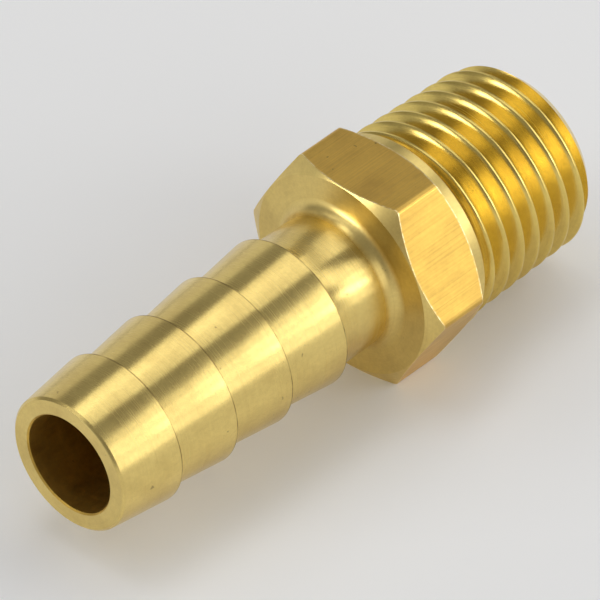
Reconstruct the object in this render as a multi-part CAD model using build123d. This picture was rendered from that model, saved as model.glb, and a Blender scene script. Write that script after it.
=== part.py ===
"""Hose barb tail: one piece of turned hexagon brass bar.

A barbed tail for a hose, a hexagon for the spanner and a male taper pipe
thread lie on one axis, with a straight bore right through.

Frame: X along the bore, out of the threaded end; Z up; origin on the bore's
axis, at the hexagon's shoulder on the thread side. The piece lies on one flat
of its hexagon. All sizes are in millimetres.
"""
from build123d import *
from math import radians, tan
import os

# ---- Bore ----
BORE_DIA = 6.8
TIP_BORE_BREAK = 0.1
THREAD_BORE_CHAMFER = 0.35

# ---- Barbed tail ----
TIP_DIA = 9.25
CREST_DIA = 10.3
ROOT_DIA = 9.15
BARB_COUNT = 4
FIRST_BARB_LENGTH = 4.6
BARB_PITCH = 4.85
TIP_EDGE_BREAK = 0.15

# ---- Neck ----
NECK_DIA = 9.15
NECK_LENGTH = 4.95
NECK_FILLET = 0.9

# ---- Hexagon ----
ACROSS_FLATS = 14.0
HEX_LENGTH = 4.8
HEX_CORNER_RADIUS = 0.4
HEX_CHAMFER_ANGLE = 31.0
FRONT_RIM_DIA = 13.9

# ---- Shoulder behind the hexagon ----
SHOULDER_DIA = 13.8
SHOULDER_LENGTH = 0.75

# ---- Taper pipe thread ----
THREAD_LENGTH = 11.05
THREAD_SMALL_END_DIA = 12.75
THREAD_TAPER = 1 / 16
END_CHAMFER = 1.05

# ---- Derived stations along the axis ----
hex_front = -HEX_LENGTH
last_crest = hex_front - NECK_LENGTH
first_crest = last_crest - (BARB_COUNT - 1) * BARB_PITCH
tip_face = first_crest - FIRST_BARB_LENGTH
thread_start = SHOULDER_LENGTH
thread_end = thread_start + THREAD_LENGTH
thread_large_end_dia = THREAD_SMALL_END_DIA + THREAD_LENGTH * THREAD_TAPER


def turned(points):
    """Solid turned about the X axis from a closed profile of (x, radius) points."""
    profile = make_face(Plane.XZ * Polyline(*points, close=True))
    return revolve(profile, axis=Axis.X)


def barb(start, start_dia, crest):
    """One barb: a cone that rises from its root to a sharp crest."""
    return turned(
        [
            (start, 0),
            (start, start_dia / 2),
            (crest, CREST_DIA / 2),
            (crest, 0),
        ]
    )


def hose_tail():
    """The barbs in a row; the first one starts at the tip's own diameter."""
    tail = barb(tip_face, TIP_DIA, first_crest)
    tip_edge = tail.edges().filter_by(GeomType.CIRCLE).sort_by(Axis.X)[0]
    tail = chamfer(tip_edge, TIP_EDGE_BREAK)
    for index in range(1, BARB_COUNT):
        crest = first_crest + index * BARB_PITCH
        tail += barb(crest - BARB_PITCH, ROOT_DIA, crest)
    return tail


def hexagon():
    """Hexagon bar with rounded corners, both ends turned back to a chamfer."""
    section = RegularPolygon(ACROSS_FLATS / 2, 6, major_radius=False)
    section = fillet(section.vertices(), HEX_CORNER_RADIUS)
    bar = extrude(Plane.YZ.offset(hex_front) * section, HEX_LENGTH)
    front_rim = FRONT_RIM_DIA / 2
    rear_rim = SHOULDER_DIA / 2
    outside = ACROSS_FLATS
    rise = tan(radians(HEX_CHAMFER_ANGLE))
    turned_ends = turned(
        [
            (hex_front, 0),
            (hex_front, front_rim),
            (hex_front + (outside - front_rim) * rise, outside),
            (-(outside - rear_rim) * rise, outside),
            (0, rear_rim),
            (0, 0),
        ]
    )
    return bar & turned_ends


def neck_and_hexagon():
    """Plain neck that runs into the hexagon's face through a fillet."""
    neck = turned(
        [
            (last_crest, 0),
            (last_crest, NECK_DIA / 2),
            (hex_front, NECK_DIA / 2),
            (hex_front, 0),
        ]
    )
    body = neck + hexagon()
    circles = body.edges().filter_by(GeomType.CIRCLE)
    on_face = circles.filter_by_position(Axis.X, hex_front, hex_front)
    return fillet(on_face.sort_by(SortBy.LENGTH)[0], NECK_FILLET)


def threaded_end():
    """Shoulder and taper of the male thread, down to its end chamfer."""
    end_radius = THREAD_SMALL_END_DIA / 2
    chamfer_start = thread_end - END_CHAMFER
    return turned(
        [
            (0, 0),
            (0, SHOULDER_DIA / 2),
            (thread_start, SHOULDER_DIA / 2),
            (thread_start, thread_large_end_dia / 2),
            (chamfer_start, end_radius + END_CHAMFER * THREAD_TAPER / 2),
            (thread_end, end_radius - END_CHAMFER),
            (thread_end, 0),
        ]
    )


def bore():
    """Straight bore through the whole piece, its mouth broken at both ends."""
    radius = BORE_DIA / 2
    return turned(
        [
            (tip_face, 0),
            (tip_face, radius + TIP_BORE_BREAK),
            (tip_face + TIP_BORE_BREAK, radius),
            (thread_end - THREAD_BORE_CHAMFER, radius),
            (thread_end, radius + THREAD_BORE_CHAMFER),
            (thread_end, 0),
        ]
    )


hose_barb_tail = hose_tail() + neck_and_hexagon() + threaded_end() - bore()

os.makedirs("parts", exist_ok=True)
export_step(hose_barb_tail, "parts/hose_barb_tail.step")
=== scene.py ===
"""Dressed scene of a brass hose barb tail.

One piece turned from hexagon brass bar: a barbed tail for a hose, a plain
neck, a hexagon for the spanner, a shoulder and a male taper pipe thread, with
a straight bore right through. The scene lays the piece on one flat of its
hexagon, on a pale table between soft boxes.

Frame: X along the bore, out of the threaded end; Z up; origin on the bore's
axis, at the hexagon's shoulder. The sizes of the forms are in millimetres,
and MM turns them into Blender's metres.
"""

import logging
from dataclasses import dataclass, field
from enum import Enum
from math import atan2, cos, hypot, pi, radians, sin, tan
from typing import ClassVar

import bpy
from mathutils import Matrix, Quaternion, Vector


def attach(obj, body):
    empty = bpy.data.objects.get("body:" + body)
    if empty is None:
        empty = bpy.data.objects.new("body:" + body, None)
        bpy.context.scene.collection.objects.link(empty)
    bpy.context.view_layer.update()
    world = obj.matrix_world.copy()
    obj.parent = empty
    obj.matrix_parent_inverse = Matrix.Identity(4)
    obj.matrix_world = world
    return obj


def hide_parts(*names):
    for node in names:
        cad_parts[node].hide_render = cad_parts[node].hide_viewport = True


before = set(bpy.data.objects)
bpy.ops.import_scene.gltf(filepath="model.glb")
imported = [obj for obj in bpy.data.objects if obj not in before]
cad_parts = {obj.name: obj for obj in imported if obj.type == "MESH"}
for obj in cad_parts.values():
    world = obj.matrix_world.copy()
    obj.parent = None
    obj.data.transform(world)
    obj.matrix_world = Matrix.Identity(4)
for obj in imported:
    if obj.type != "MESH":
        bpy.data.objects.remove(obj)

MM = 0.001
LOG = logging.getLogger("hose_barb_tail")

Point = tuple[float, float]
Span = tuple[float, float]
Triple = tuple[float, float, float]
Colour = tuple[float, float, float]

# Places along the axis that more than one form shares, in millimetres.
TIP_FACE = -28.9
HEXAGON_FRONT = -4.8
THREAD_END = 11.8


# --------------------------------------------------------------------------
# Modelling by hand
# --------------------------------------------------------------------------
class Join(Enum):
    """Ways of combining two solids, by the Boolean modifier's own names."""

    ADD = "UNION"
    CUT_AWAY = "DIFFERENCE"
    KEEP_COMMON = "INTERSECT"


class Bench:
    """The few moves of Blender's own tools that every form here is made by."""

    # Distances within which points are one point, in metres.
    ON_PLANE = 1e-8
    SAME_PLACE = 1e-7
    SEAM = 2e-7
    SLIVER = 1e-6
    # Size of the plane that is merged into a section's first point.
    SEED = 0.1 * MM

    @staticmethod
    def clear() -> None:
        """Leaves edit mode and deselects everything."""
        if bpy.context.mode != "OBJECT":
            bpy.ops.object.mode_set(mode="OBJECT")
        bpy.ops.object.select_all(action="DESELECT")

    @staticmethod
    def take(piece: bpy.types.Object) -> None:
        """Makes one object the selected and active one.

        Args:
            piece: the object to work on.
        """
        Bench.clear()
        piece.select_set(True)
        bpy.context.view_layer.objects.active = piece

    @staticmethod
    def draw(name: str, points: list[Point]) -> bpy.types.Object:
        """Draws a section in the XZ plane, vertex by vertex.

        Args:
            name: name of the new object.
            points: (x, radius) points in millimetres.

        Returns:
            The object, in edit mode, with the whole section selected.
        """
        Bench.clear()
        x, r = points[0]
        bpy.ops.mesh.primitive_plane_add(size=Bench.SEED, location=(x * MM, 0, r * MM))
        piece = bpy.context.object
        piece.name = name
        piece.data.name = name
        bpy.ops.object.transform_apply(location=True, rotation=True, scale=True)
        bpy.ops.object.mode_set(mode="EDIT")
        bpy.ops.mesh.select_mode(type="VERT")
        bpy.ops.mesh.select_all(action="SELECT")
        bpy.ops.mesh.merge(type="CENTER")
        for next_x, next_r in points[1:]:
            move = ((next_x - x) * MM, 0, (next_r - r) * MM)
            bpy.ops.mesh.extrude_region_move(TRANSFORM_OT_translate={"value": move})
            x, r = next_x, next_r
        bpy.ops.mesh.select_all(action="SELECT")
        bpy.ops.mesh.remove_doubles(threshold=Bench.SAME_PLACE)
        return piece

    @staticmethod
    def turned(name: str, points: list[Point], steps: int) -> bpy.types.Object:
        """Turns a section round the X axis into a closed solid.

        Args:
            name: name of the new object.
            points: (x, radius) points in millimetres, from the axis to the axis.
            steps: divisions round the axis.

        Returns:
            The turned solid, in object mode.
        """
        piece = Bench.draw(name, points)
        bpy.ops.mesh.spin(steps=steps, angle=2 * pi, center=(0, 0, 0), axis=(1, 0, 0))
        Bench.close_up()
        return piece

    @staticmethod
    def close_up() -> None:
        """Merges the seam, turns all faces outwards and leaves edit mode."""
        bpy.ops.mesh.select_all(action="SELECT")
        bpy.ops.mesh.remove_doubles(threshold=Bench.SEAM)
        bpy.ops.mesh.select_all(action="SELECT")
        bpy.ops.mesh.normals_make_consistent(inside=False)
        bpy.ops.object.mode_set(mode="OBJECT")

    @staticmethod
    def combine(piece: bpy.types.Object, tool: bpy.types.Object, join: Join) -> None:
        """Joins, cuts or keeps the common part of two solids.

        Args:
            piece: the solid that is changed.
            tool: the other solid, which is used up.
            join: how the two are combined.
        """
        Bench.take(piece)
        step = piece.modifiers.new(join.value.title(), "BOOLEAN")
        step.operation = join.value
        step.solver = "EXACT"
        step.object = tool
        step.material_mode = "TRANSFER"
        bpy.ops.object.modifier_apply(modifier=step.name)
        bpy.data.objects.remove(tool, do_unlink=True)

    @staticmethod
    def clean(piece: bpy.types.Object) -> None:
        """Splits the wide faces evenly and drops slivers of no area.

        Args:
            piece: the solid to clean.
        """
        Bench.take(piece)
        bpy.ops.object.mode_set(mode="EDIT")
        bpy.ops.mesh.select_all(action="SELECT")
        bpy.ops.mesh.remove_doubles(threshold=Bench.SLIVER)
        bpy.ops.mesh.select_all(action="SELECT")
        bpy.ops.mesh.dissolve_degenerate(threshold=Bench.SLIVER)
        bpy.ops.mesh.select_all(action="SELECT")
        bpy.ops.mesh.quads_convert_to_tris(ngon_method="BEAUTY")
        bpy.ops.mesh.select_all(action="SELECT")
        bpy.ops.mesh.dissolve_degenerate(threshold=Bench.SLIVER)
        Bench.close_up()


# --------------------------------------------------------------------------
# The forms
# --------------------------------------------------------------------------
@dataclass
class BarbedTail:
    """The barbs in a row, from the tip to the neck, and the neck's fillet."""

    tip_face: float = TIP_FACE
    tip_radius: float = 4.625
    tip_break: float = 0.15
    tip_lift: float = 0.005
    tip_ring: float = 2.5
    crest_radius: float = 5.15
    root_radius: float = 4.575
    first_crest: float = -24.3
    pitch: float = 4.85
    count: int = 4
    lead: float = 0.6
    crest_round: float = 0.03
    root_round: float = 0.12
    step_lean: float = 0.01
    neck_from: float = -8.0
    neck_radius: float = 4.575
    neck_run: float = 2.0
    fillet: float = 0.9
    fillet_sunk: float = 0.012
    fillet_parts: int = 12
    face: float = HEXAGON_FRONT
    overlap: float = 0.3
    overlap_rise: float = 0.01
    steps: int = 256

    def _barb(self, start: float, low: float, crest: float) -> list[Point]:
        """Works out one barb, with its crest and the root behind it rounded.

        Args:
            start: where the barb's cone begins.
            low: the radius there.
            crest: where the barb's crest is.

        Returns:
            (x, radius) points in millimetres, from the cone to the next root.
        """
        top, root = self.crest_radius, self.root_radius
        rise = (top - low) / (crest - start)
        c, r = self.crest_round, self.root_round
        behind = crest + self.step_lean
        cone = [
            (start + self.lead, low + self.lead * rise),
            ((start + crest) / 2, (low + top) / 2),
        ]
        # The crest leaves its cone three rounds early and drops a little over one.
        rounded_crest = [
            (crest - 3 * c, top - 3 * c * rise),
            (crest - 0.3 * c, top - 0.3 * c),
            (crest, top - 1.4 * c),
        ]
        # The root keeps the round of the tool's nose, in two facets.
        rounded_root = [
            (behind, root + r),
            (behind + 0.3 * r, root + 0.3 * r),
            (behind + r, root),
        ]
        return cone + rounded_crest + rounded_root

    def section(self) -> list[Point]:
        """Works out the tail's section, from the axis at the tip to the hexagon.

        Returns:
            (x, radius) points in millimetres.
        """
        start, low = self.tip_face, self.tip_radius
        points: list[Point] = [
            (start, 0.0),
            (start, self.tip_ring),
            (start, low - self.tip_break),
            (start + self.tip_break, low + self.tip_lift),
        ]
        for index in range(self.count):
            crest = self.first_crest + index * self.pitch
            points += self._barb(start, low, crest)
            start, low = crest, self.root_radius
        fillet_from = self.face - self.fillet
        points.append((fillet_from - self.neck_run, self.neck_radius))
        for part in range(self.fillet_parts + 1):
            angle = radians(90) * part / self.fillet_parts
            x = fillet_from + self.fillet * sin(angle) + self.fillet_sunk
            points.append((x, self.neck_radius + self.fillet * (1 - cos(angle))))
        inside = self.face + self.overlap
        points.append((inside, self.neck_radius + self.fillet + self.overlap_rise))
        points.append((inside, 0.0))
        return points

    def build(self) -> bpy.types.Object:
        """Turns the tail.

        Returns:
            The tail as one closed solid.
        """
        return Bench.turned("barbed_tail", self.section(), self.steps)


@dataclass
class Hexagon:
    """The hexagon of the bar, with rounded corners and both ends chamfered."""

    across_flats: float = 14.0
    front: float = HEXAGON_FRONT
    rear: float = 0.0
    corner_round: float = 0.4
    corner_parts: int = 5
    chamfer: float = 31.0
    front_rim: float = 6.95
    rear_rim: float = 6.9
    outside: float = 9.5
    steps: int = 256

    def _bar(self) -> bpy.types.Object:
        """Cuts the bar to length and lays it on a flat.

        Returns:
            The plain hexagon bar.
        """
        Bench.clear()
        bpy.ops.mesh.primitive_cylinder_add(
            vertices=6,
            radius=self.across_flats / 2 / cos(radians(30)) * MM,
            depth=(self.rear - self.front) * MM,
            location=((self.front + self.rear) / 2 * MM, 0, 0),
            rotation=(radians(90), 0, radians(90)),
        )
        bar = bpy.context.object
        bar.name = "hexagon_bar"
        bpy.ops.object.transform_apply(location=True, rotation=True, scale=True)
        bar.data.transform(Matrix.Rotation(radians(30), 4, "X"))
        return bar

    def _round_corners(self, bar: bpy.types.Object) -> None:
        """Rounds the six long edges.

        Args:
            bar: the plain hexagon bar.
        """
        bpy.ops.object.mode_set(mode="EDIT")
        bpy.ops.mesh.select_mode(type="EDGE")
        bpy.ops.mesh.select_all(action="DESELECT")
        bpy.ops.object.mode_set(mode="OBJECT")
        half_length = (self.rear - self.front) / 2 * MM
        for edge in bar.data.edges:
            a, b = (bar.data.vertices[i].co for i in edge.vertices)
            edge.select = abs(a.x - b.x) > half_length
        bpy.ops.object.mode_set(mode="EDIT")
        bpy.ops.mesh.bevel(
            offset=self.corner_round * tan(radians(30)) * MM,
            segments=self.corner_parts,
            affect="EDGES",
        )
        bpy.ops.object.mode_set(mode="OBJECT")

    def build(self) -> bpy.types.Object:
        """Makes the bar and chamfers its ends.

        Returns:
            The hexagon as one closed solid.
        """
        bar = self._bar()
        self._round_corners(bar)
        rise = tan(radians(self.chamfer))
        front_reach = (self.outside - self.front_rim) * rise
        rear_reach = (self.outside - self.rear_rim) * rise
        ends = Bench.turned(
            "hexagon_ends",
            [
                (self.front, 0.0),
                (self.front, self.front_rim),
                (self.front + front_reach, self.outside),
                (self.rear - rear_reach, self.outside),
                (self.rear, self.rear_rim),
                (self.rear, 0.0),
            ],
            self.steps,
        )
        Bench.combine(bar, ends, Join.KEEP_COMMON)
        return bar


@dataclass
class TaperThread:
    """The shoulder and the male taper thread, cut by a die that runs out at it."""

    start: float = 0.75
    end: float = THREAD_END
    slope: float = 1 / 32
    pitch: float = 1.4111
    depth: float = 1.045
    end_crest_radius: float = 6.375
    crest_half: float = 0.06
    crest_ease: float = 0.03
    crest_fall: float = 0.035
    lip_fall: float = 0.008
    root_half: float = 0.06
    root_rise: float = 0.05
    root_ease: float = 0.012
    flank_parts: int = 5
    groove_at: float = 2.1396
    first_turn: int = -2
    turns: int = 10
    spare_before: float = 0.5
    spare_after: float = 0.2
    chamfer: float = 1.05
    chamfer_reach: float = 1.0
    blank_before: float = 0.4
    shoulder_radius: float = 6.9
    shoulder_break: float = 0.06
    shoulder_sunk: float = 0.5
    sunk_clear: float = 0.2
    rim_sunk: float = 0.1
    rim_clear: float = 0.002
    runout: float = 1.45
    crest_clear: float = 0.01
    root_clear: float = 0.08
    steps: int = 180
    turned_steps: int = 256

    def profile(self) -> list[Point]:
        """Works out one pitch of the thread, from one crest's middle to the next.

        Returns:
            (offset along from the groove's middle, depth below the crests)
            points in millimetres.
        """
        half = self.pitch / 2
        mouth = half - self.crest_half
        foot, low = self.root_half, self.depth - self.root_rise
        side: list[Point] = [
            (0.0, self.depth),
            (foot / 2, self.depth - self.root_ease),
            (foot, low),
        ]
        for part in range(1, self.flank_parts + 1):
            share = part / self.flank_parts
            along = foot + (mouth - self.crest_ease - foot) * share
            side.append((along, low * (1 - share) + self.crest_fall * share))
        side.append((mouth, self.lip_fall))
        side.append((half, 0.0))
        return [(-x, d) for x, d in reversed(side)] + side[1:]

    def crest(self, x: float) -> float:
        """Radius of the crests at a place along the axis."""
        return self.end_crest_radius + (self.end - x) * self.slope

    def _fit(self, piece: bpy.types.Object) -> None:
        """Sets the straight screw on the taper.

        Args:
            piece: the straight screw, whose crests lie at the small end's radius.
        """
        for vertex in piece.data.vertices:
            x, y, z = (c / MM for c in vertex.co)
            angle = atan2(z, y)
            depth = self.end_crest_radius - hypot(y, z)
            r = self.crest(x) - depth
            vertex.co = (x * MM, r * cos(angle) * MM, r * sin(angle) * MM)

    def _screw(self) -> bpy.types.Object:
        """Screws one pitch round the axis, tapers it and cuts both ends square.

        Returns:
            The thread as a closed solid, a little longer than it will be.
        """
        base = self.groove_at + self.first_turn * self.pitch
        top = self.end_crest_radius
        piece = Bench.draw("taper_thread", [(base + x, top - d) for x, d in self.profile()])
        bpy.ops.object.mode_set(mode="OBJECT")
        screw = piece.modifiers.new("Screw", "SCREW")
        screw.axis = "X"
        screw.angle = 2 * pi
        screw.screw_offset = self.pitch * MM
        screw.iterations = self.turns
        screw.steps = self.steps
        screw.render_steps = self.steps
        screw.use_merge_vertices = True
        screw.merge_threshold = Bench.SAME_PLACE
        Bench.take(piece)
        bpy.ops.object.modifier_apply(modifier=screw.name)
        self._fit(piece)
        bpy.ops.object.mode_set(mode="EDIT")
        bpy.ops.mesh.select_mode(type="VERT")
        bpy.ops.mesh.select_all(action="SELECT")
        bpy.ops.mesh.remove_doubles(threshold=Bench.SLIVER)
        for place, way in (
            (self.start - self.spare_before, -1),
            (self.end + self.spare_after, 1),
        ):
            bpy.ops.mesh.select_all(action="SELECT")
            bpy.ops.mesh.bisect(
                plane_co=(place * MM, 0, 0),
                plane_no=(way, 0, 0),
                use_fill=True,
                clear_outer=True,
                threshold=Bench.ON_PLANE,
            )
        Bench.close_up()
        return piece

    def _blank(self) -> bpy.types.Object:
        """Turns the outside that the thread is kept within, with its end chamfer.

        Returns:
            The blank's solid.
        """
        before = self.start - self.blank_before
        end_radius = self.end_crest_radius - self.chamfer
        reach = self.chamfer_reach
        return Bench.turned(
            "thread_blank",
            [
                (before, 0.0),
                (before, self.crest(self.start) + reach),
                (self.end - self.chamfer - reach, end_radius + self.chamfer + reach),
                (self.end, end_radius),
                (self.end, 0.0),
            ],
            self.turned_steps,
        )

    def _shoulder(self) -> bpy.types.Object:
        """Turns the shoulder, with the cone in which the die runs out.

        Returns:
            The shoulder's solid, which begins a little inside the hexagon.
        """
        rim, crest = self.shoulder_radius, self.crest(self.start)
        runout_end = self.start + self.runout
        return Bench.turned(
            "shoulder",
            [
                (-self.shoulder_sunk, 0.0),
                (-self.shoulder_sunk, rim - self.sunk_clear),
                (-self.rim_sunk, rim - self.rim_clear),
                (self.start - self.shoulder_break, rim),
                (self.start, rim - self.shoulder_break),
                (self.start, crest + self.crest_clear),
                (runout_end, crest - self.depth - self.root_clear),
                (runout_end, 0.0),
            ],
            self.turned_steps,
        )

    def build(self) -> bpy.types.Object:
        """Cuts the thread and its end chamfer, and adds the shoulder.

        Returns:
            The threaded end as one closed solid.
        """
        piece = self._screw()
        Bench.combine(piece, self._blank(), Join.KEEP_COMMON)
        Bench.combine(piece, self._shoulder(), Join.ADD)
        return piece


@dataclass
class Bore:
    """The straight bore, with its edges broken at both ends."""

    radius: float = 3.4
    tip_face: float = TIP_FACE
    tip_break: float = 0.1
    thread_end: float = THREAD_END
    thread_break: float = 0.35
    reach: float = 1.0
    steps: int = 192

    def build(self) -> bpy.types.Object:
        """Makes the solid that is cut away, which reaches out past both ends.

        Returns:
            The bore's solid.
        """
        before, after = self.tip_face - self.reach, self.thread_end + self.reach
        return Bench.turned(
            "bore",
            [
                (before, 0.0),
                (before, self.radius + self.tip_break + self.reach),
                (self.tip_face + self.tip_break, self.radius),
                (self.thread_end - self.thread_break, self.radius),
                (after, self.radius + self.thread_break + self.reach),
                (after, 0.0),
            ],
            self.steps,
        )


# --------------------------------------------------------------------------
# Finishes
# --------------------------------------------------------------------------
class Grain(Enum):
    """How a surface was worked, which says how its marks run."""

    TURNED = "turned"
    FACED = "faced"
    DRAWN = "drawn"
    THREADED = "threaded"
    BORED = "bored"


class Sum(Enum):
    """Sums on one or two values, by the Math node's own names."""

    ADD = "ADD"
    SUBTRACT = "SUBTRACT"
    MULTIPLY = "MULTIPLY"
    SMALLER = "MINIMUM"
    SIZE = "ABSOLUTE"
    WRAP = "FLOORED_MODULO"
    IS_BELOW = "LESS_THAN"


@dataclass(frozen=True)
class Noise:
    """A noise pattern: repeats per millimetre along X, Y and Z, and its finer layers."""

    scale: Triple
    detail: float
    rough: float


@dataclass(frozen=True)
class Patches:
    """The patches that a noise makes: where they begin and are full, and their shares."""

    noise: Noise
    read: Span
    give: Span


class Graph:
    """A material's node tree, with short ways to add and link its nodes."""

    # Places of the colour sockets on a Mix node, whose names repeat.
    MIX_UNDER: ClassVar[int] = 6
    MIX_OVER: ClassVar[int] = 7
    MIX_RESULT: ClassVar[int] = 2

    def __init__(self, name: str) -> None:
        """Starts a material with one Principled shader.

        Args:
            name: name of the new material.
        """
        self.material = bpy.data.materials.new(name)
        self.material.use_nodes = True
        self.nodes = self.material.node_tree.nodes
        self.shader = self.nodes["Principled BSDF"]
        self.place = self.nodes.new("ShaderNodeTexCoord").outputs["Object"]

    def link(self, source: bpy.types.NodeSocket, target: bpy.types.NodeSocket) -> None:
        """Links two sockets."""
        self.material.node_tree.links.new(source, target)

    def set(self, name: str, value: float) -> None:
        """Sets one of the shader's own numbers."""
        self.shader.inputs[name].default_value = value

    def scaled(self, scale: Triple) -> bpy.types.NodeSocket:
        """Gives the object's own place, stretched along each axis.

        Args:
            scale: pattern repeats per millimetre along X, Y and Z.

        Returns:
            The vector socket.
        """
        node = self.nodes.new("ShaderNodeMapping")
        self.link(self.place, node.inputs["Vector"])
        node.inputs["Scale"].default_value = tuple(repeats / MM for repeats in scale)
        return node.outputs["Vector"]

    def pattern(
        self, vector: bpy.types.NodeSocket, detail: float, rough: float
    ) -> bpy.types.NodeSocket:
        """Adds a noise pattern on a vector.

        Args:
            vector: the place it reads, already scaled.
            detail: how many finer layers it has.
            rough: how strong the finer layers are.

        Returns:
            The pattern's value, about 0.5 on average.
        """
        node = self.nodes.new("ShaderNodeTexNoise")
        self.link(vector, node.inputs["Vector"])
        node.inputs["Scale"].default_value = 1.0
        node.inputs["Detail"].default_value = detail
        node.inputs["Roughness"].default_value = rough
        return node.outputs["Fac"]

    def noise(self, noise: Noise) -> bpy.types.NodeSocket:
        """Adds a noise pattern on the object's own place.

        Args:
            noise: the pattern.

        Returns:
            The pattern's value, about 0.5 on average.
        """
        return self.pattern(self.scaled(noise.scale), noise.detail, noise.rough)

    def spread(
        self, value: bpy.types.NodeSocket, read: Span, give: Span
    ) -> bpy.types.NodeSocket:
        """Maps a value from one range to another, held at both ends.

        Args:
            value: the value to map.
            read: start and end of the range that is read.
            give: the results at that start and end.

        Returns:
            The mapped value.
        """
        node = self.nodes.new("ShaderNodeMapRange")
        self.link(value, node.inputs["Value"])
        keys = ("From Min", "From Max", "To Min", "To Max")
        for key, number in zip(keys, (*read, *give)):
            node.inputs[key].default_value = number
        return node.outputs["Result"]

    def patches(self, patches: Patches) -> bpy.types.NodeSocket:
        """Adds a pattern's patches.

        Args:
            patches: the pattern and its shares.

        Returns:
            The share at each place.
        """
        return self.spread(self.noise(patches.noise), patches.read, patches.give)

    def math(
        self,
        operation: Sum,
        first: bpy.types.NodeSocket,
        second: bpy.types.NodeSocket | float = 0.0,
    ) -> bpy.types.NodeSocket:
        """Adds one sum.

        Args:
            operation: which sum.
            first: the first value.
            second: the second value, a socket or a number.

        Returns:
            The result.
        """
        node = self.nodes.new("ShaderNodeMath")
        node.operation = operation.value
        self.link(first, node.inputs[0])
        if isinstance(second, (int, float)):
            node.inputs[1].default_value = second
        else:
            self.link(second, node.inputs[1])
        return node.outputs[0]

    def mix(
        self,
        share: bpy.types.NodeSocket,
        under: bpy.types.NodeSocket | Colour,
        over: Colour,
    ) -> bpy.types.NodeSocket:
        """Lays one plain colour over another colour.

        Args:
            share: how much of the upper colour shows.
            under: the colour under it, a socket or a plain colour.
            over: the plain colour laid over it.

        Returns:
            The mixed colour.
        """
        node = self.nodes.new("ShaderNodeMix")
        node.data_type = "RGBA"
        self.link(share, node.inputs["Factor"])
        if isinstance(under, tuple):
            node.inputs[self.MIX_UNDER].default_value = (*under, 1.0)
        else:
            self.link(under, node.inputs[self.MIX_UNDER])
        node.inputs[self.MIX_OVER].default_value = (*over, 1.0)
        return node.outputs[self.MIX_RESULT]

    def axial(self) -> bpy.types.NodeSocket:
        """Gives the place along the axis, in metres."""
        node = self.nodes.new("ShaderNodeSeparateXYZ")
        self.link(self.place, node.inputs[0])
        return node.outputs["X"]

    def radius(self) -> bpy.types.NodeSocket:
        """Gives the distance from the axis, in metres."""
        across = self.nodes.new("ShaderNodeVectorMath")
        across.operation = "MULTIPLY"
        self.link(self.place, across.inputs[0])
        across.inputs[1].default_value = (0, 1, 1)
        node = self.nodes.new("ShaderNodeVectorMath")
        node.operation = "LENGTH"
        self.link(across.outputs[0], node.inputs[0])
        return node.outputs["Value"]

    def bump(self, height: bpy.types.NodeSocket, strength: float, distance: float) -> None:
        """Raises the surface by a pattern.

        Args:
            height: the pattern.
            strength: how much of it shows.
            distance: its height, in metres.
        """
        node = self.nodes.new("ShaderNodeBump")
        node.inputs["Strength"].default_value = strength
        node.inputs["Distance"].default_value = distance
        self.link(height, node.inputs["Height"])
        self.link(node.outputs["Normal"], self.shader.inputs["Normal"])


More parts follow.
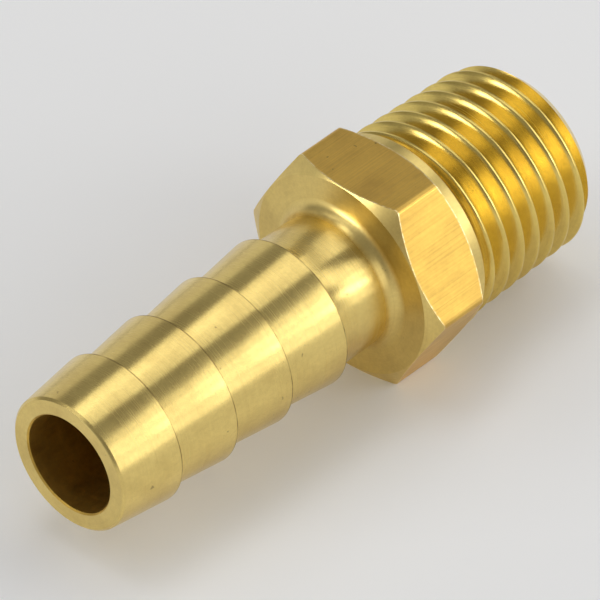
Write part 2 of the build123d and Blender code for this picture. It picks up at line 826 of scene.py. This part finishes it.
@dataclass(frozen=True)
class BrassFinish:
    """Brass with the marks that one way of working leaves on it, and, where set, a painted
    dark reflection on the barbs' crests and a painted glint on the hexagon's edges.
    """

    name: str
    grain: Grain
    colour: Colour = (0.85, 0.655, 0.225)
    stain: Colour = (0.42, 0.27, 0.08)
    speck: Colour = (0.14, 0.09, 0.04)
    # Colour of the painted dark reflection along the barbs' crests.
    crest_dark_reflection: Colour = (0.20, 0.12, 0.035)
    # Colour of the painted glint along the hexagon's edges.
    edge_glint: Colour = (0.98, 0.86, 0.50)
    stained: float = 0.35
    streaked: float = 0.12
    roughness: float = 0.23
    rough_change: Span = (-0.04, 0.06)
    anisotropy: float = 0.6
    line_scale: float = 26.0
    line_drift: float = 0.12
    line_depth: float = 0.0006 * MM
    line_strength: float = 0.5
    # Whether the finish gets the painted dark reflection on the barbs' crests.
    painted_crest_reflection: bool = False
    # Whether the finish gets the painted glint on the hexagon's edges.
    painted_edge_glints: bool = False

    # Finer layers of the tool's lines, and the waver of the rings on a face.
    LINE_LAYERS: ClassVar[Span] = (4.0, 0.6)
    WAVER: ClassVar[Noise] = Noise((0.5, 0.5, 0.5), 1.0, 0.55)
    # What of the lines' height streaks the colour, and what roughens it.
    STREAKS_FROM: ClassVar[Span] = (0.38, 0.72)
    ROUGH_FROM: ClassVar[Span] = (0.3, 0.7)
    # Stains: wide clouds, a fine mottle and small dark specks.
    CLOUDS: ClassVar[Noise] = Noise((0.28, 0.4, 0.4), 5.0, 0.6)
    CLOUDS_FROM: ClassVar[Span] = (0.42, 0.75)
    MOTTLE: ClassVar[Patches] = Patches(
        Noise((3.2, 4.5, 4.5), 3.0, 0.65), (0.35, 0.7), (0.0, 0.16)
    )
    SPECKS: ClassVar[Patches] = Patches(
        Noise((1.7, 1.7, 1.7), 2.0, 0.5), (0.75, 0.78), (0.0, 0.5)
    )
    # Painted lines, a dark reflection on the crests and a glint on the hexagon's edges: half
    # widths where each is full and where it ends, and the noise that breaks it up.
    CREST_WIDTH: ClassVar[Span] = (0.02 * MM, 0.075 * MM)
    CREST_BEFORE: ClassVar[float] = 0.02 * MM
    CREST_REFLECTION_BREAKS: ClassVar[Patches] = Patches(
        Noise((0.9, 0.9, 0.9), 3.0, 0.6), (0.38, 0.58), (0.45, 0.95)
    )
    EDGE_WIDTH: ClassVar[Span] = (0.02 * MM, 0.12 * MM)
    EDGE_GLINT_BREAKS: ClassVar[Patches] = Patches(
        Noise((2.5, 2.5, 2.5), 3.0, 0.6), (0.4, 0.6), (0.15, 0.9)
    )
    QUARTER_TURN: ClassVar[float] = 0.25

    def _lines(self, graph: Graph) -> bpy.types.NodeSocket:
        """Lays the fine lines that the tool left, along or round the piece.

        Args:
            graph: the material's nodes.

        Returns:
            The lines' height, about 0.5 on average.
        """
        fine, slow = self.line_scale, self.line_drift
        if self.grain is Grain.DRAWN:
            vector = graph.scaled((slow, fine, fine))
        elif self.grain is Grain.FACED:
            joined = graph.nodes.new("ShaderNodeCombineXYZ")
            rings = graph.math(Sum.MULTIPLY, graph.radius(), fine / MM)
            graph.link(rings, joined.inputs["X"])
            graph.link(graph.noise(self.WAVER), joined.inputs["Y"])
            vector = joined.outputs["Vector"]
        else:
            vector = graph.scaled((fine, slow, slow))
        return graph.pattern(vector, *self.LINE_LAYERS)

    def _crest_reflection_line(self, graph: Graph, tail: BarbedTail) -> bpy.types.NodeSocket:
        """Paints a narrow dark line along each barb's crest, a painted dark reflection,
        broken up by noise.

        Args:
            graph: the material's nodes.
            tail: the tail whose crests are marked.

        Returns:
            Up to 1 on the line, where it shows, and 0 elsewhere.
        """
        pitch = tail.pitch * MM
        before = tail.first_crest * MM - pitch / 2
        wrapped = graph.math(
            Sum.WRAP, graph.math(Sum.SUBTRACT, graph.axial(), before), pitch
        )
        middle = pitch / 2 - self.CREST_BEFORE
        off = graph.math(Sum.SIZE, graph.math(Sum.SUBTRACT, wrapped, middle))
        line = graph.spread(off, self.CREST_WIDTH, (1.0, 0.0))
        on_barbs = graph.math(Sum.IS_BELOW, graph.axial(), tail.neck_from * MM)
        patchy = graph.math(Sum.MULTIPLY, graph.patches(self.CREST_REFLECTION_BREAKS), on_barbs)
        return graph.math(Sum.MULTIPLY, line, patchy)

    def _edge_glint_line(self, graph: Graph, hexagon: Hexagon) -> bpy.types.NodeSocket:
        """Paints a pale line where the hexagon's chamfers meet its flats, a painted glint,
        broken up by noise.

        Args:
            graph: the material's nodes.
            hexagon: the hexagon whose edges are marked.

        Returns:
            Up to 1 on the line, where it shows, and 0 elsewhere.
        """
        rise = tan(radians(hexagon.chamfer))
        near = []
        for end, rim, way in (
            (hexagon.front, hexagon.front_rim, 1.0),
            (hexagon.rear, hexagon.rear_rim, -1.0),
        ):
            from_end = graph.math(Sum.SUBTRACT, graph.axial(), end * MM)
            inward = graph.math(Sum.MULTIPLY, from_end, way)
            past_rim = graph.math(Sum.SUBTRACT, graph.radius(), rim * MM)
            cut = graph.math(Sum.MULTIPLY, past_rim, rise)
            near.append(graph.math(Sum.SIZE, graph.math(Sum.SUBTRACT, inward, cut)))
        nearest = graph.math(Sum.SMALLER, near[0], near[1])
        line = graph.spread(nearest, self.EDGE_WIDTH, (1.0, 0.0))
        return graph.math(Sum.MULTIPLY, line, graph.patches(self.EDGE_GLINT_BREAKS))

    def _colour(
        self, graph: Graph, lines: bpy.types.NodeSocket, tail: BarbedTail, hexagon: Hexagon
    ) -> bpy.types.NodeSocket:
        """Lays the stains and the specks over the brass, then the painted dark reflection on
        the crests and the painted glint on the hexagon's edges.

        Args:
            graph: the material's nodes.
            lines: the height of the fine lines.
            tail: the tail whose crests are marked.
            hexagon: the hexagon whose edges are marked.

        Returns:
            The colour at each place.
        """
        clouds = graph.spread(graph.noise(self.CLOUDS), self.CLOUDS_FROM, (0.0, self.stained))
        streaks = graph.spread(lines, self.STREAKS_FROM, (0.0, self.streaked))
        colour = graph.mix(graph.math(Sum.ADD, clouds, streaks), self.colour, self.stain)
        colour = graph.mix(graph.patches(self.MOTTLE), colour, self.stain)
        colour = graph.mix(graph.patches(self.SPECKS), colour, self.speck)
        # Painted dark reflection: a narrow dark line along each barb's crest.
        if self.painted_crest_reflection:
            colour = graph.mix(self._crest_reflection_line(graph, tail), colour, self.crest_dark_reflection)
        # Painted glint: a pale line where the hexagon's chamfers meet its flats.
        if self.painted_edge_glints:
            colour = graph.mix(self._edge_glint_line(graph, hexagon), colour, self.edge_glint)
        return colour

    def material(self, tail: BarbedTail, hexagon: Hexagon) -> bpy.types.Material:
        """Builds the finish's node tree.

        Args:
            tail: the tail whose crests are marked.
            hexagon: the hexagon whose edges are marked.

        Returns:
            The finished material.
        """
        graph = Graph(self.name)
        graph.set("Metallic", 1.0)
        graph.set("Anisotropic", self.anisotropy)
        if self.anisotropy:
            along = self.grain is Grain.DRAWN
            graph.set("Anisotropic Rotation", 0.0 if along else self.QUARTER_TURN)
            tangent = graph.nodes.new("ShaderNodeTangent")
            tangent.direction_type = "RADIAL"
            tangent.axis = "X"
            graph.link(tangent.outputs["Tangent"], graph.shader.inputs["Tangent"])
        lines = self._lines(graph)
        colour = self._colour(graph, lines, tail, hexagon)
        graph.link(colour, graph.shader.inputs["Base Color"])
        smoothest, roughest = (self.roughness + change for change in self.rough_change)
        rough = graph.spread(lines, self.ROUGH_FROM, (smoothest, roughest))
        graph.link(rough, graph.shader.inputs["Roughness"])
        graph.bump(lines, self.line_strength, self.line_depth)
        return graph.material


FINISHES = (
    # The turned finish carries the painted dark reflection on the barbs' crests.
    BrassFinish("brass_turned", Grain.TURNED, painted_crest_reflection=True),
    BrassFinish("brass_faced", Grain.FACED, roughness=0.33, anisotropy=0.4),
    BrassFinish(
        "brass_drawn",
        Grain.DRAWN,
        colour=(0.80, 0.515, 0.112),
        stain=(0.40, 0.23, 0.06),
        stained=0.45,
        streaked=0.35,
        roughness=0.32,
        anisotropy=0.5,
        line_scale=9.0,
        # The drawn finish carries the painted glint on the hexagon's edges.
        painted_edge_glints=True,
    ),
    BrassFinish(
        "brass_threaded",
        Grain.THREADED,
        colour=(0.86, 0.66, 0.185),
        stained=0.3,
        roughness=0.22,
        anisotropy=0.0,
    ),
    BrassFinish(
        "brass_bored",
        Grain.BORED,
        colour=(0.78, 0.52, 0.11),
        stain=(0.32, 0.18, 0.03),
        stained=0.8,
        roughness=0.42,
        anisotropy=0.0,
        line_scale=5.0,
    ),
)


# --------------------------------------------------------------------------
# The piece
# --------------------------------------------------------------------------
@dataclass
class HoseBarbTail:
    """The whole piece: its forms joined into one and dressed."""

    tail: BarbedTail = field(default_factory=BarbedTail)
    hexagon: Hexagon = field(default_factory=Hexagon)
    thread: TaperThread = field(default_factory=TaperThread)
    bore: Bore = field(default_factory=Bore)
    smooth_below: float = 28.0
    margin: float = 0.01
    front_margin: float = 0.03
    bore_margin: float = 0.2

    # How far a face's normal leans along the axis, and towards it.
    END_ON: ClassVar[float] = 0.99
    MOSTLY_END_ON: ClassVar[float] = 0.9
    LEANING: ClassVar[float] = 0.3
    INWARD: ClassVar[float] = -0.5

    def build(self) -> bpy.types.Object:
        """Joins the forms, bores them through and puts the piece in the frame.

        Returns:
            The finished piece.
        """
        piece = self.tail.build()
        Bench.combine(piece, self.hexagon.build(), Join.ADD)
        Bench.combine(piece, self.thread.build(), Join.ADD)
        Bench.combine(piece, self.bore.build(), Join.CUT_AWAY)
        Bench.clean(piece)
        piece.name = "barb_tail_turned"
        piece.data.name = "barb_tail_turned"
        self.dress(piece)
        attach(piece, "root")
        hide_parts("hose_barb_tail")
        return piece

    def dress(self, piece: bpy.types.Object) -> None:
        """Smooths the turned faces and gives every face its finish.

        Args:
            piece: the joined piece.
        """
        Bench.take(piece)
        bpy.ops.object.shade_smooth_by_angle(angle=radians(self.smooth_below))
        weighting = piece.modifiers.new("Weighted normals", "WEIGHTED_NORMAL")
        weighting.mode = "FACE_AREA"
        weighting.keep_sharp = True
        bpy.ops.object.modifier_apply(modifier=weighting.name)
        piece.data.materials.clear()
        for finish in FINISHES:
            piece.data.materials.append(finish.material(self.tail, self.hexagon))
        grains = [finish.grain for finish in FINISHES]
        for face in piece.data.polygons:
            face.material_index = grains.index(self._grain_at(face))

    def _grain_at(self, face: bpy.types.MeshPolygon) -> Grain:
        """Tells how a face was worked, by its place and normal.

        Args:
            face: one face of the piece.

        Returns:
            The way it was worked.
        """
        centre, normal = face.center / MM, face.normal
        across = Vector((0, centre.y, centre.z))
        outward = across.normalized().dot(normal)
        along = abs(normal.x)
        if outward < self.INWARD and across.length < self.bore.radius + self.bore_margin:
            return Grain.BORED
        if centre.x > self.thread.start + self.margin:
            return Grain.THREADED if along < self.END_ON else Grain.FACED
        hexagon_from = self.hexagon.front - self.front_margin
        if hexagon_from < centre.x < self.hexagon.rear + self.margin:
            return Grain.FACED if along > self.LEANING else Grain.DRAWN
        fillet_from = self.tail.face - self.tail.fillet
        if along > self.MOSTLY_END_ON or centre.x > fillet_from:
            return Grain.FACED
        return Grain.TURNED


# --------------------------------------------------------------------------
# The studio
# --------------------------------------------------------------------------
@dataclass(frozen=True)
class SoftBox:
    """A rectangular soft light that faces the piece from a side and a height."""

    name: str
    azimuth: float
    elevation: float
    width: float
    height: float
    radiance: float
    distance: float = 0.6

    def build(self) -> None:
        """Hangs the light and aims it."""
        light = bpy.data.lights.new(self.name, "AREA")
        light.shape = "RECTANGLE"
        light.size, light.size_y = self.width, self.height
        light.energy = self.radiance * pi * self.width * self.height
        lamp = bpy.data.objects.new(self.name, light)
        bpy.context.scene.collection.objects.link(lamp)
        around, up = radians(self.azimuth), radians(self.elevation)
        way = Vector((cos(up) * cos(around), cos(up) * sin(around), sin(up)))
        lamp.location = way * self.distance
        lamp.rotation_euler = way.to_track_quat("Z", "Y").to_euler()
        lamp.visible_camera = False


@dataclass
class Studio:
    """Pale table, soft light all round and the camera."""

    table_height: float = -Hexagon.across_flats / 2 * MM
    table_size: float = 6.0
    table_shade: float = 0.9
    table_glow: float = 0.04
    room_light: float = 0.26
    boxes: tuple[SoftBox, ...] = (
        SoftBox("front_wall", 273, 20, 0.95, 0.42, 0.95),
        SoftBox("front_strip", 292, 7, 0.66, 0.14, 0.35),
        SoftBox("front_right", 318, 39, 0.44, 0.21, 1.5),
        SoftBox("front_hot", 306, 20, 0.22, 0.10, 3.0),
        SoftBox("back_right", 5, 32, 0.34, 0.19, 1.5),
        SoftBox("overhead", 108, 76, 0.28, 0.20, 1.9),
        SoftBox("overhead_right", 19, 66, 0.38, 0.31, 1.05),
        SoftBox("back_left", 135, 48, 0.60, 0.19, 1.0),
        SoftBox("back_wall", 65, 16, 0.50, 0.30, 0.42),
        SoftBox("left_strip", 155, 11, 0.20, 0.18, 7.5),
    )
    eye: Triple = (-412.883 * MM, -380.399 * MM, 480.519 * MM)
    aim: Triple = (-8.372 * MM, 0.135 * MM, 0.107 * MM)
    roll: float = -0.08
    lens: float = 720.0
    sensor: float = 36.0
    sight: Span = (0.05, 20.0)

    def build(self) -> None:
        """Sets the table, the light and the camera."""
        self._table()
        self._air()
        for box in self.boxes:
            box.build()
        self._camera()

    def _table(self) -> None:
        """Lays the pale table under the piece."""
        Bench.clear()
        bpy.ops.mesh.primitive_plane_add(
            size=self.table_size, location=(0, 0, self.table_height)
        )
        table = bpy.context.object
        table.name = "table"
        paint = bpy.data.materials.new("table_white")
        paint.use_nodes = True
        shader = paint.node_tree.nodes["Principled BSDF"]
        shade = self.table_shade
        shader.inputs["Base Color"].default_value = (shade, shade, shade, 1)
        shader.inputs["Roughness"].default_value = 1.0
        shader.inputs["Specular IOR Level"].default_value = 0.0
        shader.inputs["Emission Color"].default_value = (1, 1, 1, 1)
        shader.inputs["Emission Strength"].default_value = self.table_glow
        table.data.materials.append(paint)

    def _air(self) -> None:
        """Fills the room with even light."""
        world = bpy.data.worlds.new("room")
        world.use_nodes = True
        ground = world.node_tree.nodes["Background"]
        ground.inputs["Color"].default_value = (1, 1, 1, 1)
        ground.inputs["Strength"].default_value = self.room_light
        bpy.context.scene.world = world
        bpy.context.scene.view_settings.view_transform = "Standard"

    def _camera(self) -> None:
        """Stands the camera and aims it."""
        lens = bpy.data.cameras.new("camera")
        lens.lens, lens.sensor_width = self.lens, self.sensor
        lens.clip_start, lens.clip_end = self.sight
        camera = bpy.data.objects.new("camera", lens)
        bpy.context.scene.collection.objects.link(camera)
        eye, aim = Vector(self.eye), Vector(self.aim)
        roll = Quaternion((0, 0, 1), radians(self.roll))
        turn = (aim - eye).to_track_quat("-Z", "Y") @ roll
        camera.matrix_world = Matrix.Translation(eye) @ turn.to_matrix().to_4x4()
        bpy.context.scene.camera = camera


def main() -> None:
    """Builds the studio and the piece, and logs the piece's face count."""
    logging.basicConfig(level=logging.INFO, format="%(name)s: %(message)s")
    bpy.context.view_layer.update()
    Studio().build()
    LOG.info("studio set")
    piece = HoseBarbTail().build()
    LOG.info("%s: %d faces", piece.name, len(piece.data.polygons))


if __name__ == "__main__":
    main()
